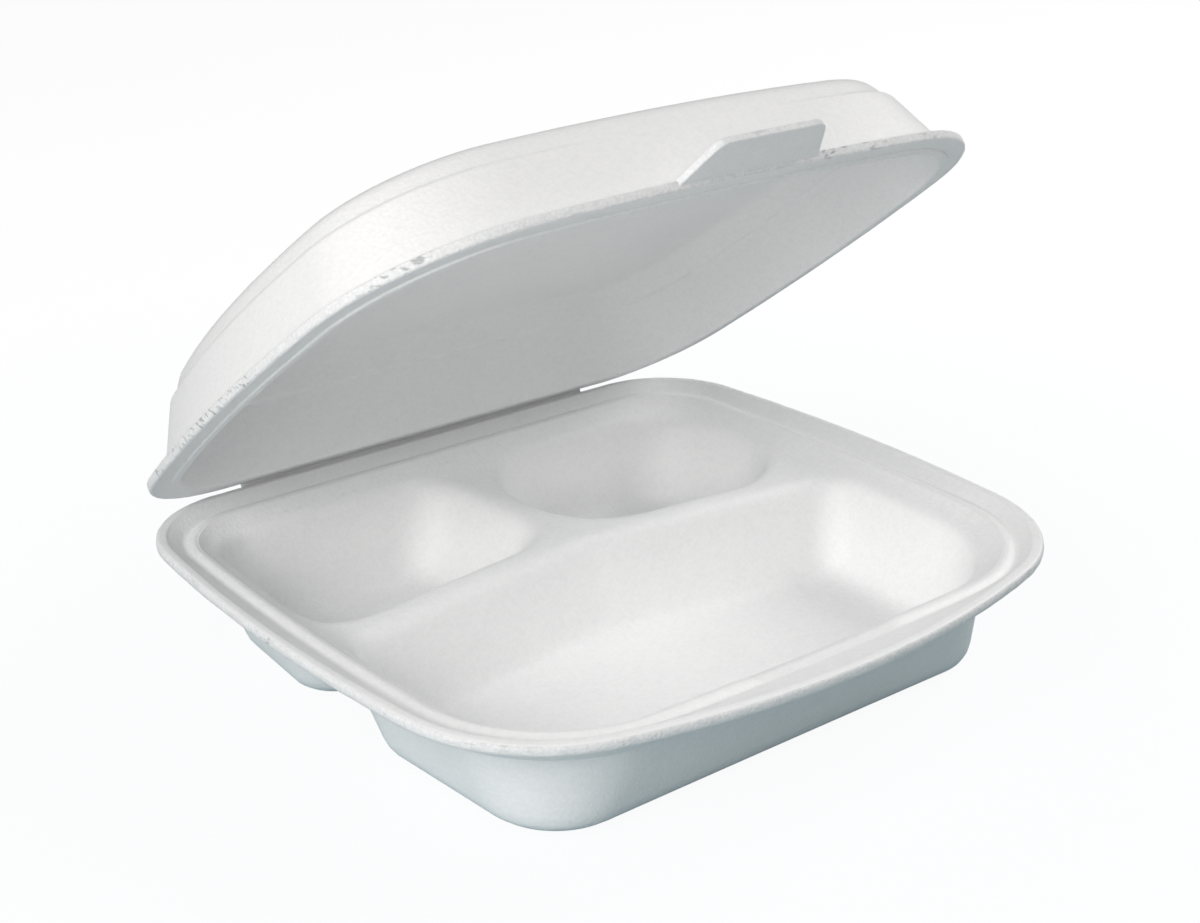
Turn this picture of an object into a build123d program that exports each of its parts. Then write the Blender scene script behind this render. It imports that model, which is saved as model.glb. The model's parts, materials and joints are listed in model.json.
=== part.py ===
from build123d import *
import os

# Foam clamshell container: one thermoformed sheet, folded along the back into a tray with three compartments
# and a domed lid. X runs along the fold, Y points to the back, Z up, and the tray stands on Z = 0.
# Sizes in mm, angles in degrees.

# Sheet and fold
sheet = 3.0
seat_gap = 0.3
fold_gap = 0.3
fold_radius = 1.0
fold_margin = 1.5
lid_open = 37.2

# Rim seen from above
rim_height = 39.0
fold_y = 102.0
rim_half = 115.0
rim_bow = 7.6
rim_depth = 207.2
rim_swell = 21.5
rim_front_radius = 50.0
rim_back_radius = 33.0

# Rim section, from the cut edge inwards
lip_width = 3.0
lip_taper = 5.0
groove_drop = 3.5
side_band = 12.0
front_band = 12.5
back_band = 7.2
groove_bow = 4.5
groove_swell = 4.0
front_corner_step = 4.0
back_corner_step = 8.0
groove_floor = 0.8
ridge_slope = 1.6
ridge_drop = 1.5
ridge_crest = 1.8
ridge_round = 0.8
mouth_slope = 2.8

# Gap in the ridge at the front, under the lid's tab
landing_front_half = 24.0
landing_mouth_half = 17.0
landing_margin = 0.5
landing_depth = 14.5
landing_ease = 4.0

# Web between the compartments, and the compartments below it
web_drop = 8.0
crest_round = 2.4
ledge = 3.5
end_ledge = 3.0
front_ledge = 4.5
divider_share = 0.544
divider_rise = 12.0
front_divider_half = 5.0
rear_divider_half = 5.5
side_draft = 4.0
front_draft = 7.7
back_draft = 7.3
divider_draft = 12.0
front_corner_inset = 6.0
front_corner_loss = 22.0
divider_corner = 13.0
divider_corner_loss = 4.0
kink_round = 14.0
plain_share = 0.27
oval_share = 0.46
floor_round = 3.5

# Lid
lid_bow = 9.5
lid_setback = 8.5
lid_swell = 8.0
lid_front_radius = 50.0
lid_back_radius = 36.0
back_lean = 1.55
flange_width = 4.5
bead_width = 2.4
bead_drop = 0.8
shoulder_height = 22.5
shoulder_inset = 6.5
shoulder_ledge = 1.2
dome_height = 30.0
crown_inset = 3.3
crown_round = 4.0

# Thumb tab, lifted from the lid's flange
tab_root_half = 25.0
tab_tip_half = 18.0
tab_reach = 14.5
tab_root_depth = 2.0
tab_round = 5.0
tab_lift = 14.0

web_top = rim_height - web_drop
web_low = web_top - sheet
groove_z = rim_height - groove_drop
ridge_z = rim_height - ridge_drop
crest_out = groove_floor + ridge_slope
crest_in = crest_out + ridge_crest
mouth_inset = crest_in + mouth_slope
rim_back = fold_y - fold_gap
rim_tip = rim_back - rim_depth
rim_front = rim_tip + rim_swell
rim_half_end = rim_half - rim_bow
groove_tip = rim_tip + front_band
groove_front = groove_tip + groove_swell
groove_back = rim_back - back_band
groove_half = rim_half - side_band
groove_half_end = groove_half - groove_bow
groove_front_radius = rim_front_radius - front_corner_step
groove_back_radius = rim_back_radius - back_corner_step
landing_front = groove_tip + landing_margin
landing_back = landing_front + landing_depth
pocket_front = groove_tip + mouth_inset + front_ledge
pocket_back = groove_back - mouth_inset - ledge
pocket_half = groove_half - mouth_inset - ledge
pocket_half_end = groove_half_end - mouth_inset - end_ledge
front_corner = groove_front_radius - front_corner_inset
divider_end_y = pocket_front + divider_share * (pocket_back - pocket_front)
lid_tip = rim_tip + lid_setback
lid_front = lid_tip + lid_swell
lid_half_end = rim_half - lid_bow
fold_half = lid_half_end - lid_back_radius - fold_margin
shoulder_low = shoulder_height - sheet
wall_inset = flange_width + shoulder_inset
ledge_inset = wall_inset + shoulder_ledge
top_inset = ledge_inset + crown_inset


def level(height):
    """Plane of a tray section."""
    return Plane.XY.offset(height)


lid_normal = Vector(0, 0, 1).rotate(Axis.X, -lid_open)
fold_frame = Plane(origin=(0, fold_y, rim_height), x_dir=(1, 0, 0), z_dir=lid_normal)


def lid_level(height):
    """Plane of a lid section, with the coordinates the lid has when it is shut."""
    origin = fold_frame.from_local_coords((0, -fold_y, height))
    return Plane(origin=origin, x_dir=fold_frame.x_dir, z_dir=lid_normal)


def outline(sketch, half, half_end, front, swell, back, front_radius, back_radius):
    """Closed outline with swelling sides and front, a straight back and four round corners."""
    middle = (front + back) / 2
    with BuildLine() as edge:
        ThreePointArc((-half_end, back), (-half, middle), (-half_end, front))
        ThreePointArc((-half_end, front), (0, front - swell), (half_end, front))
        ThreePointArc((half_end, front), (half, middle), (half_end, back))
        Line((half_end, back), (-half_end, back))
    make_face(edge.edges())
    fillet(sketch.vertices().group_by(Axis.Y)[0], front_radius)
    fillet(sketch.vertices().group_by(Axis.Y)[-1], back_radius)


def rim(sketch, inset):
    """Rim outline, moved inwards."""
    outline(sketch, rim_half - inset, rim_half_end - inset, rim_front + inset, rim_swell, rim_back - inset,
            rim_front_radius - inset, rim_back_radius - inset)


def groove(sketch, inset):
    """Groove outline, moved inwards, which the ridge and the mouth follow."""
    outline(sketch, groove_half - inset, groove_half_end - inset, groove_front + inset, groove_swell,
            groove_back - inset, groove_front_radius - inset, groove_back_radius - inset)


def dome(sketch, inset, wall=0):
    """Lid outline moved inwards, more at the leaning back, and then by the wall's thickness on all sides."""
    side = inset + wall
    back = rim_back - back_lean * inset - wall
    outline(sketch, rim_half - side, lid_half_end - side, lid_front + side, lid_swell, back,
            lid_front_radius - side / 2, lid_back_radius - side / 2)


def rounded(sketch, corners):
    """Polygon with its own radius on each corner, given as (x, y, radius)."""
    Polygon(*[(x, y) for x, y, radius in corners], align=None)
    for x, y, radius in corners:
        fillet(sketch.vertices().sort_by_distance((x, y, 0))[0], radius)


def divider(x):
    """Y of the front divider's middle line, which bends towards the fold at its centre."""
    return divider_end_y + divider_rise * (1 - abs(x) / pocket_half)


def front_pocket(sketch, depth):
    """Wide compartment at the front: depth 0 at the web, 1 at the floor."""
    side = pocket_half - side_draft * depth
    side_end = pocket_half_end - side_draft * depth
    near = pocket_front + front_draft * depth
    far = -front_divider_half - divider_draft * depth
    corner = front_corner - front_corner_loss * depth
    far_corner = divider_corner - divider_corner_loss * depth
    rounded(sketch, [(-side_end, near, corner), (side_end, near, corner),
                     (side, divider(side) + far, far_corner), (0, divider(0) + far, kink_round),
                     (-side, divider(side) + far, far_corner)])


def rear_pocket(sketch, depth, hand, share):
    """Compartment behind the divider, on the side given by hand; its corners take a share of its depth."""
    outer = hand * (pocket_half - side_draft * depth)
    outer_end = hand * (pocket_half_end - side_draft * depth)
    inner = hand * (rear_divider_half + divider_draft * depth)
    near = front_divider_half + divider_draft * depth
    far = pocket_back - back_draft * depth
    corner = share * (far - near - divider(inner))
    rounded(sketch, [(outer, divider(outer) + near, corner), (inner, divider(inner) + near, corner),
                     (inner, far, corner), (outer_end, far, corner)])


def plain_pocket(sketch, depth):
    """Rear left compartment."""
    rear_pocket(sketch, depth, -1, plain_share)


def oval_pocket(sketch, depth):
    """Rear right compartment, nearly oval."""
    rear_pocket(sketch, depth, 1, oval_share)


def landing(ease):
    """Outline of the ridge gap, widened by ease."""
    front_half = landing_front_half + ease
    mouth_half = landing_mouth_half + ease
    Polygon((-front_half, landing_front), (front_half, landing_front), (mouth_half, landing_back),
            (-mouth_half, landing_back), align=None)


def tab(sketch):
    """Thumb tab that tapers from its root line to its tip."""
    tip = -tab_root_depth - tab_reach
    Polygon((-tab_tip_half, tip), (tab_tip_half, tip), (tab_root_half, 0), (-tab_root_half, 0), align=None)
    fillet(sketch.vertices().group_by(Axis.Y)[0], tab_round)


lid_axis = Axis(fold_frame.origin, lid_normal)
tab_root = (0, lid_tip + tab_root_depth - fold_y, seat_gap)
tab_normal = lid_normal.rotate(Axis.X, -tab_lift)
tab_plane = Plane(origin=fold_frame.from_local_coords(tab_root), x_dir=fold_frame.x_dir, z_dir=tab_normal)
compartments = (front_pocket, plain_pocket, oval_pocket)

with BuildPart() as shells:
    for draw in compartments:
        with BuildSketch(level(web_top)) as shell_top:
            draw(shell_top, 0)
            offset(amount=sheet)
        with BuildSketch(level(0)) as shell_floor:
            draw(shell_floor, 1)
            offset(amount=sheet)
        loft(ruled=True)
    fillet(shells.faces().group_by(Axis.Z)[0].edges(), floor_round + sheet)

with BuildPart() as hollows:
    for draw in compartments:
        with BuildSketch(level(web_top)) as hollow_top:
            draw(hollow_top, 0)
        with BuildSketch(level(sheet)) as hollow_floor:
            draw(hollow_floor, 1)
        loft(ruled=True)
    fillet(hollows.faces().group_by(Axis.Z)[0].edges(), floor_round)

with BuildPart() as base_tray:
    # Cut edge and tapered underside of the rim
    with BuildSketch(level(rim_height - sheet)) as edge_sketch:
        rim(edge_sketch, 0)
    extrude(amount=sheet)
    with BuildSketch(level(rim_height - sheet)) as taper_top:
        rim(taper_top, 0)
    with BuildSketch(level(groove_z - sheet)) as taper_low:
        rim(taper_low, lip_taper)
    loft(ruled=True)
    # Collar that carries the web
    with BuildSketch(level(groove_z - sheet)) as collar_top:
        groove(collar_top, crest_in - sheet)
    with BuildSketch(level(web_low)) as collar_low:
        groove(collar_low, mouth_inset - sheet)
    loft(ruled=True)
    add(shells.part)
    # Dished upper face of the rim, falling from the lip to the groove
    with BuildSketch(level(rim_height)) as dish_top:
        rim(dish_top, lip_width)
    with BuildSketch(level(groove_z)) as dish_low:
        groove(dish_low, 0)
    loft(ruled=True, mode=Mode.SUBTRACT)
    # Ridge round the mouth, and the landing that breaks it at the front
    with BuildSketch(level(groove_z)) as ridge_low:
        groove(ridge_low, groove_floor)
    with BuildSketch(level(ridge_z)) as ridge_top:
        groove(ridge_top, crest_out)
    loft(ruled=True)
    with BuildSketch(level(ridge_z)) as mouth_top:
        groove(mouth_top, crest_in)
    with BuildSketch(level(web_top)) as mouth_low:
        groove(mouth_low, mouth_inset)
    loft(ruled=True, mode=Mode.SUBTRACT)
    ridge_middle = (0, groove_tip + (crest_out + crest_in) / 2, ridge_z)
    ridge_face = base_tray.faces().filter_by(Axis.Z).sort_by_distance(ridge_middle)[0]
    fillet(ridge_face.edges(), ridge_round)
    add(hollows.part, mode=Mode.SUBTRACT)
    # Ridge gap with sloping ends
    with BuildSketch(level(groove_z)) as gap_low:
        landing(0)
    with BuildSketch(level(rim_height)) as gap_top:
        landing(landing_ease)
    loft(ruled=True, mode=Mode.SUBTRACT)
    # Rounded crests round the compartments
    web_face = base_tray.faces().filter_by(Axis.Z).sort_by_distance((0, divider(0), web_top))[0]
    fillet(web_face.inner_wires().edges(), crest_round)
    # Hollow for the pressed roll of the fold
    with BuildSketch(Plane.YZ.offset(-fold_half - fold_gap)) as socket:
        with Locations((fold_y, rim_height)):
            Circle(fold_radius + fold_gap)
    extrude(amount=2 * (fold_half + fold_gap), mode=Mode.SUBTRACT)

with BuildPart() as lid_hollow:
    with BuildSketch(lid_level(seat_gap - bead_drop)) as opening_low:
        dome(opening_low, flange_width, sheet)
    with BuildSketch(lid_level(shoulder_low)) as opening_top:
        dome(opening_top, wall_inset, sheet)
    loft(ruled=True)
    with BuildSketch(lid_level(shoulder_low)) as crown_low:
        dome(crown_low, ledge_inset, sheet)
    with BuildSketch(lid_level(dome_height - sheet)) as crown_top:
        dome(crown_top, top_inset, sheet)
    loft(ruled=True)
    fillet(lid_hollow.faces().sort_by(lid_axis)[-1].edges(), crown_round)

with BuildPart() as lid:
    # Flange with the thumb tab
    with BuildSketch(lid_level(seat_gap)) as flange_sketch:
        dome(flange_sketch, 0)
    extrude(amount=sheet)
    with BuildSketch(tab_plane) as tab_sketch:
        tab(tab_sketch)
    extrude(amount=sheet)
    # Locating bead under the flange
    with BuildSketch(lid_level(seat_gap - bead_drop)) as bead_sketch:
        dome(bead_sketch, flange_width, sheet - bead_width)
    extrude(amount=bead_drop)
    # Wall, shoulder ledge and crown
    with BuildSketch(lid_level(seat_gap)) as wall_low:
        dome(wall_low, flange_width)
    with BuildSketch(lid_level(shoulder_height)) as wall_top:
        dome(wall_top, wall_inset)
    loft(ruled=True)
    with BuildSketch(lid_level(shoulder_height)) as shoulder_sketch:
        dome(shoulder_sketch, ledge_inset)
    with BuildSketch(lid_level(dome_height)) as panel_sketch:
        dome(panel_sketch, top_inset)
    loft(ruled=True)
    fillet(lid.faces().sort_by(lid_axis)[-1].edges(), crown_round)
    add(lid_hollow.part, mode=Mode.SUBTRACT)
    # Pressed roll of the fold
    with BuildSketch(Plane.YZ.offset(-fold_half)) as roll:
        with Locations((fold_y, rim_height)):
            Circle(fold_radius)
    extrude(amount=2 * fold_half)

os.makedirs("parts", exist_ok=True)
base_tray.part.label = "base_tray"
export_step(base_tray.part, "parts/base_tray.step")
lid.part.label = "lid"
export_step(lid.part, "parts/lid.step")
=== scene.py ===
import json
import math

import bmesh
import bpy
import numpy as np
from bpy.props import FloatProperty, FloatVectorProperty, IntProperty, PointerProperty
from mathutils import Matrix, Vector
from mathutils.geometry import delaunay_2d_cdt


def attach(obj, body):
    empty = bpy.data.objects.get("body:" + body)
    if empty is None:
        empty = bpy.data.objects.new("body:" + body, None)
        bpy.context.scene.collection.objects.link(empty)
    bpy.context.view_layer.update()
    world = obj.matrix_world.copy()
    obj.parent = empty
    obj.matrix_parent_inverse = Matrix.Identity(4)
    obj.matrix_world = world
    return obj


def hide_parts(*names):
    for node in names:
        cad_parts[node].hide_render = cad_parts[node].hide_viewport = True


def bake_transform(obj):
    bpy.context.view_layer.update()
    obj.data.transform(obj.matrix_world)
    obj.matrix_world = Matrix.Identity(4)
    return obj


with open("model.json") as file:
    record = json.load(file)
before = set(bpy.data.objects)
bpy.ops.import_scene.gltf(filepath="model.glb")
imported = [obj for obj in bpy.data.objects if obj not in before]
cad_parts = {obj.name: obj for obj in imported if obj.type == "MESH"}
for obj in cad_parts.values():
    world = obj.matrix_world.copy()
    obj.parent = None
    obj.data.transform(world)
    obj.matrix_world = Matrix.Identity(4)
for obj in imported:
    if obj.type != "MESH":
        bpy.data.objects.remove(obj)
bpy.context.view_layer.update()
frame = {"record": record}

bl_info = {
    "name": "Foam clamshell",
    "version": (1, 0, 0),
    "blender": (4, 5, 0),
    "location": "View3D > Sidebar > Foam clamshell",
    "description": "Tray, lid and fold of a moulded foam clamshell container",
    "category": "Object",
}

JOINT = frame["record"]["behaviour"]["joints"][0]
FOLD = Vector(JOINT["pos_m"])
LID_OPEN = math.radians(-JOINT["range_deg"][0])

# Points in a loop: half of the front, front corner, side, back corner, half of the back
LOOP_COUNTS = (44, 44, 60, 30, 34)
# Points on each corner and each side of a compartment
CORNER_POINTS = 16
SIDE_POINTS = 20
# Points on a rounded corner of a section, its share of the way to the next corner, and the step of loops
ROUND_POINTS = 6
ROUND_SHARE = 0.49
LOOP_GAP = 0.003
# Distance below which two points are one
SAME = 1e-7
# Distance of the points on the web
WEB_STEP = 0.0016
# Rounding of a compartment's upper edge: share of the way to the mouth, and its least size
CREST_SHARE = 0.55
CREST_LEAST = 0.0006
# Rounding where a compartment's outside meets the web, and the floor's flat start in roundings
NECK_ROUND = 0.0012
FLOOR_EDGE = 1.4
# Share of the sheet by which a floor's rounding is larger outside
OUTER_GAIN = 0.4
# Start of the flat top of the lid, in roundings of the crown
CROWN_EDGE = 1.6
# How quickly the lid's shoulder fades along the front
FADE_RATE = 1.6
# Rounding of the thumb tab's edges and of its root, and the clean cut beside it
TAB_EDGE = 0.0005
TAB_ROOT = 0.0006
TAB_BESIDE = 0.001
# Points along the folded strip's arc, its rows, and where its thickness starts at the ends
FOLD_POINTS = 24
FOLD_ROWS = 80
FOLD_END = 0.15
# How far back the crumbs reach along the edges of tray and lid
TRAY_CRUMBS_BACK = 0.02
LID_CRUMBS_BACK = 0.03
# Colour sockets of a mix node: the two colours and the result
MIX_LOW, MIX_HIGH, MIX_OUT = 6, 7, 2
# Point that the lamps face
LAMP_AIM = Vector((0, 0, 0.06))
# Turn of each lamp to the left of the front and its height above the horizon, in degrees, and its colour
LAMPS = {
    "Left": (82, 28, (1.0, 0.98, 0.965)),
    "Right": (-86, 28, (1.0, 0.98, 0.965)),
    "Front": (46, 26, (1.0, 0.98, 0.96)),
    "Top": (15, 72, (1.0, 0.98, 0.965)),
}
# Half width of the floor
FLOOR_REACH = 6.0


def length(name, description, default):
    """Property for a size in metres."""
    return FloatProperty(name=name, description=description, default=default, unit="LENGTH", precision=4)


def share(name, description, default):
    """Property for a plain ratio."""
    return FloatProperty(name=name, description=description, default=default, precision=3)


def turn(name, description, degrees):
    """Property for an angle."""
    angle = math.radians(degrees)
    return FloatProperty(name=name, description=description, default=angle, subtype="ANGLE")


def colour(name, description, default):
    """Property for a linear colour."""
    return FloatVectorProperty(name=name, description=description, default=default,
                               size=3, min=0, max=1, subtype="COLOR")


def power(name, description, default):
    """Property for a lamp's power in watts."""
    return FloatProperty(name=name, description=description, default=default, unit="POWER")


class TraySizes(bpy.types.PropertyGroup):
    """Sizes of the tray."""
    sheet: length("Sheet", "Thickness of the foam sheet", 0.003)
    rim_height: length("Rim height", "Height of the cut edge's upper corner", FOLD.z)
    rim_back: length("Rim back", "Place of the rim's back edge", FOLD.y - 0.0003)
    rim_half: length("Rim half width", "Half of the rim's greatest width", 0.115)
    rim_bow: length("Rim bow", "How far the rim's sides swell", 0.0076)
    rim_depth: length("Rim depth", "Rim from its back to the middle of its front", 0.2072)
    rim_swell: length("Rim swell", "How far the rim's front swells", 0.0215)
    rim_front_radius: length("Front corner", "Radius of the rim's front corners", 0.050)
    rim_back_radius: length("Back corner", "Radius of the rim's back corners", 0.033)
    lip_width: length("Lip", "Flat lip inside the cut edge", 0.003)
    lip_taper: length("Taper", "How far the rim's underside tapers in", 0.005)
    groove_drop: length("Groove drop", "Depth of the groove below the rim", 0.0030)
    side_band: length("Side band", "Rim to groove at the sides", 0.0085)
    front_band: length("Front band", "Rim to groove at the front", 0.0125)
    back_band: length("Back band", "Rim to groove at the back", 0.0072)
    groove_bow: length("Groove bow", "How far the groove's sides swell", 0.0045)
    groove_swell: length("Groove swell", "How far the groove's front swells", 0.004)
    front_step: length("Front corner step", "Loss of radius from rim to groove in front", 0.002)
    back_step: length("Back corner step", "Loss of radius from rim to groove at the back", 0.006)
    groove_floor: length("Groove floor", "Width of the groove's floor", 0.0008)
    ridge_slope: length("Ridge slope", "Width of the ridge's outer slope", 0.0016)
    ridge_drop: length("Ridge drop", "Ridge below the rim", 0.0022)
    lip_step: length("Lip step", "Drop inside the lip", 0.0005)
    mouth_ease: length("Mouth ease", "How far the ridge runs out towards the compartments", 0.014)
    ridge_crest: length("Ridge crest", "Width of the ridge's crest", 0.0018)
    mouth_slope: length("Mouth slope", "Width of the slope inside the ridge", 0.0028)
    landing_half: length("Landing half width", "Half of the gap in the ridge at the front", 0.024)
    landing_ease: length("Landing ease", "Width of the sloping ends of that gap", 0.004)
    web_drop: length("Web drop", "Dividers below the rim", 0.008)
    crest_round: length("Crest", "Rounding of the dividers' edges", 0.0042)
    ledge: length("Ledge", "Web between mouth and compartments", 0.004)
    back_ledge: length("Back ledge", "The same at the back", 0.0035)
    end_ledge: length("End ledge", "The same at the compartments' ends", 0.0035)
    front_ledge: length("Front ledge", "The same at the front", 0.0045)
    divider_share: share("Divider place", "Place of the divider's ends between front and back", 0.544)
    divider_rise: length("Divider rise", "How far the divider bends to the back at its middle", 0.012)
    front_divider_half: length("Divider half", "Half of the long divider's width", 0.005)
    rear_divider_half: length("Rear divider half", "Half of the short divider's width", 0.0055)
    side_draft: length("Side draft", "Lean of the compartments' sides", 0.009)
    front_draft: length("Front draft", "Lean of the front wall", 0.0077)
    back_draft: length("Back draft", "Lean of the back wall", 0.0073)
    divider_draft: length("Divider draft", "Lean of the dividers' flanks", 0.012)
    front_corner_inset: length("Compartment corner", "Loss of radius from groove to compartment", 0.008)
    front_corner_loss: length("Front corner loss", "Loss of that radius from web to floor", 0.022)
    divider_corner: length("Divider corner", "Corners of the front compartment at the divider", 0.013)
    divider_corner_loss: length("Divider corner loss", "Loss of that radius from web to floor", 0.004)
    kink_round: length("Kink", "Radius of the divider's bend", 0.014)
    plain_share: share("Plain corners", "Rear left compartment's corner radius over its depth", 0.27)
    oval_share: share("Oval corners", "Rear right compartment's corner radius over its depth", 0.46)
    floor_round: length("Floor corner", "Rounding where a wall meets the floor", 0.0055)
    floor_crown: length("Floor crown", "How far a floor rises to its middle", 0.0006)

    def rim(self, inset):
        """Rim outline, moved inwards."""
        half = self.rim_half - inset
        front = self.rim_back - self.rim_depth + self.rim_swell
        return ring(half, half - self.rim_bow, front + inset, self.rim_swell, self.rim_back - inset,
                    self.rim_front_radius - inset, self.rim_back_radius - inset)

    def groove(self, inset):
        """Groove outline, moved inwards, which the ridge and the mouth follow."""
        half = self.rim_half - self.side_band - inset
        front = self.groove_tip() + self.groove_swell
        back = self.rim_back - self.back_band
        return ring(half, half - self.groove_bow, front + inset, self.groove_swell, back - inset,
                    self.rim_front_radius - self.front_step - inset,
                    self.rim_back_radius - self.back_step - inset)

    def groove_tip(self):
        """Middle of the groove's front."""
        return self.rim_back - self.rim_depth + self.front_band

    def crest_out(self):
        """Outer edge of the ridge's crest, from the groove."""
        return self.groove_floor + self.ridge_slope

    def crest_in(self):
        """Inner edge of the ridge's crest, from the groove."""
        return self.crest_out() + self.ridge_crest

    def mouth(self):
        """Foot of the slope inside the ridge, from the groove."""
        return self.crest_in() + self.mouth_slope

    def web_level(self):
        """Height of the web and the dividers' tops."""
        return self.rim_height - self.web_drop

    def ridge_level(self, points):
        """Height of the ridge, which is missing over the landing at the front."""
        end = self.landing_half + self.landing_ease
        part = np.clip((end - np.abs(points[:, 0])) / self.landing_ease, 0, 1)
        part = part * part * (3 - 2 * part) * (points[:, 1] < 0)
        return self.rim_height - self.ridge_drop + (self.ridge_drop - self.groove_drop) * part

    def pocket_half(self):
        """Half width over the compartments at the divider."""
        return self.rim_half - self.side_band - self.mouth() - self.ledge

    def pocket_end_half(self):
        """Half width over the compartments at their front and back."""
        return self.rim_half - self.side_band - self.groove_bow - self.mouth() - self.end_ledge

    def divider(self, x):
        """Middle line of the long divider, which bends to the back at its centre."""
        front = self.groove_tip() + self.mouth() + self.front_ledge
        back = self.rim_back - self.back_band - self.mouth() - self.back_ledge
        end = front + self.divider_share * (back - front)
        return end + self.divider_rise * (1 - abs(x) / self.pocket_half())

    def front_corners(self, depth):
        """Corners of the wide front compartment: depth 0 at the web, 1 at the floor."""
        side = self.pocket_half() - self.side_draft * depth
        end = self.pocket_end_half() - self.side_draft * depth
        near = self.groove_tip() + self.mouth() + self.front_ledge + self.front_draft * depth
        far = -self.front_divider_half - self.divider_draft * depth
        corner = self.rim_front_radius - self.front_step - self.front_corner_inset
        corner -= self.front_corner_loss * depth
        far_corner = self.divider_corner - self.divider_corner_loss * depth
        side_y = self.divider(side) + far
        kink_y = self.divider(0.0) + far
        return [(-end, near, corner), (end, near, corner), (side, side_y, far_corner),
                (0.0, kink_y, self.kink_round), (-side, side_y, far_corner)]

    def rear_corners(self, depth, hand):
        """Corners of a rear compartment, on the side given by hand."""
        outer = hand * (self.pocket_half() - self.side_draft * depth)
        end = hand * (self.pocket_end_half() - self.side_draft * depth)
        inner = hand * (self.rear_divider_half + self.divider_draft * depth)
        near = self.front_divider_half + self.divider_draft * depth
        far = self.rim_back - self.back_band - self.mouth() - self.back_ledge - self.back_draft * depth
        part = self.oval_share if hand > 0 else self.plain_share
        corner = part * (far - near - self.divider(inner))
        corners = [(outer, self.divider(outer) + near, corner),
                   (inner, self.divider(inner) + near, corner),
                   (inner, far, corner),
                   (end, far, corner)]
        return corners[::-hand]

    def compartments(self, depth):
        """Corners of the three compartments."""
        return [self.front_corners(depth), self.rear_corners(depth, -1), self.rear_corners(depth, 1)]


class LidSizes(bpy.types.PropertyGroup):
    """Sizes of the lid and its thumb tab, as the lid lies when it is shut."""
    bow: length("Bow", "How far the lid's sides swell", 0.0095)
    setback: length("Setback", "Lid's front behind the rim's front", 0.0085)
    swell: length("Swell", "How far the lid's front swells", 0.008)
    front_radius: length("Front corner", "Radius of the lid's front corners", 0.050)
    back_radius: length("Back corner", "Radius of the lid's back corners", 0.036)
    back_lean: share("Back lean", "How much more the back wall leans than the others", 1.55)
    seat_gap: length("Seat gap", "Flange above the rim", 0.0003)
    flange_width: length("Flange", "Flange outside the wall", 0.0045)
    bead_width: length("Bead", "Width of the locating bead under the flange", 0.0024)
    bead_drop: length("Bead drop", "Height of that bead", 0.0008)
    shoulder_height: length("Shoulder height", "Height of the step in the wall", 0.0225)
    shoulder_inset: length("Wall lean", "Lean of the wall below the step", 0.0065)
    shoulder_ledge: length("Shoulder ledge", "Width of the step", 0.0012)
    dome_height: length("Height", "Height of the lid's top", 0.030)
    crown_inset: length("Crown lean", "Lean of the wall above the step", 0.0033)
    crown_round: length("Crown", "Rounding of the top's edge", 0.0055)
    fade_half: length("Shoulder fade", "Half of the front along which the step fades out", 0.085)
    tab_root_half: length("Tab root", "Half width of the thumb tab at its root", 0.025)
    tab_tip_half: length("Tab tip", "Half width of the thumb tab at its tip", 0.018)
    tab_reach: length("Tab reach", "Thumb tab beyond the flange", 0.0145)
    tab_root_depth: length("Tab overlap", "Thumb tab inside the flange", 0.002)
    tab_round: length("Tab corner", "Radius of the tab's corners", 0.005)
    tab_lift: turn("Tab lift", "Angle of the tab to the flange", 14)
    tab_step: length("Tab step", "Tab's underside above the flange's", 0.0009)

    def dome(self, tray, inset, wall=0.0):
        """Lid outline moved inwards, more at the leaning back, and then by a wall on all sides."""
        side = inset + wall
        front = self.tip(tray) + self.swell
        back = tray.rim_back - self.back_lean * inset - wall
        half = tray.rim_half - side
        return ring(half, half - self.bow, front + side, self.swell, back,
                    self.front_radius - side / 2, self.back_radius - side / 2)

    def tip(self, tray):
        """Middle of the lid's front edge."""
        return tray.rim_back - tray.rim_depth + self.setback


class FoldSizes(bpy.types.PropertyGroup):
    """Sizes of the pressed fold."""
    half: length("Half length", "Half of the pressed fold", 0.068)
    inner: length("Inner radius", "Inside of the folded strip", 0.0004)
    outer: length("Outer radius", "Outside of the folded strip", 0.0016)
    bury: turn("Bury", "How far the strip runs into tray and lid", 24)
    pressed: length("Pressed", "Reach of the pressed skin round the fold", 0.006)


class FoamFinish(bpy.types.PropertyGroup):
    """Look of the foam."""
    skin: colour("Skin", "Moulded skin of the foam", (0.97, 0.97, 0.97))
    skin_dark: colour("Skin shade", "Skin between its cells", (0.89, 0.895, 0.90))
    cut: colour("Cut edge", "Foam where the sheet was cut", (0.93, 0.93, 0.93))
    # Painted shade: the cut edge's darker grey stands in for the shade inside its open cells
    cut_cell_shade: colour("Cut pits", "Open cells of the cut edge", (0.74, 0.75, 0.76))
    gloss: share("Roughness", "Roughness of the moulded skin", 0.46)
    cells: FloatProperty(name="Cells", description="Cells of the skin per metre", default=900)
    cut_cells: FloatProperty(name="Cut cells", description="Open cells per metre", default=1100)
    # Painted shade: a dark grey in the pits of the cut edge, where shade falls
    pit_shade_colour: colour("Flecks", "Torn pits of the cut edge", (0.48, 0.49, 0.50))
    ragged: length("Ragged edge", "How far the cut edge wanders", 0.00025)
    crumb_small: length("Small crumb", "Smallest crumb on a cut edge", 0.00022)
    crumb_large: length("Large crumb", "Largest crumb on a cut edge", 0.00055)
    crumb_space: length("Crumb spacing", "Places for crumbs along a cut edge", 0.0011)
    crumb_share: share("Crumb share", "Share of those places that hold a crumb in a cluster", 0.55)
    seed: IntProperty(name="Seed", description="Seed of ragged edges and crumbs", default=11)


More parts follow.
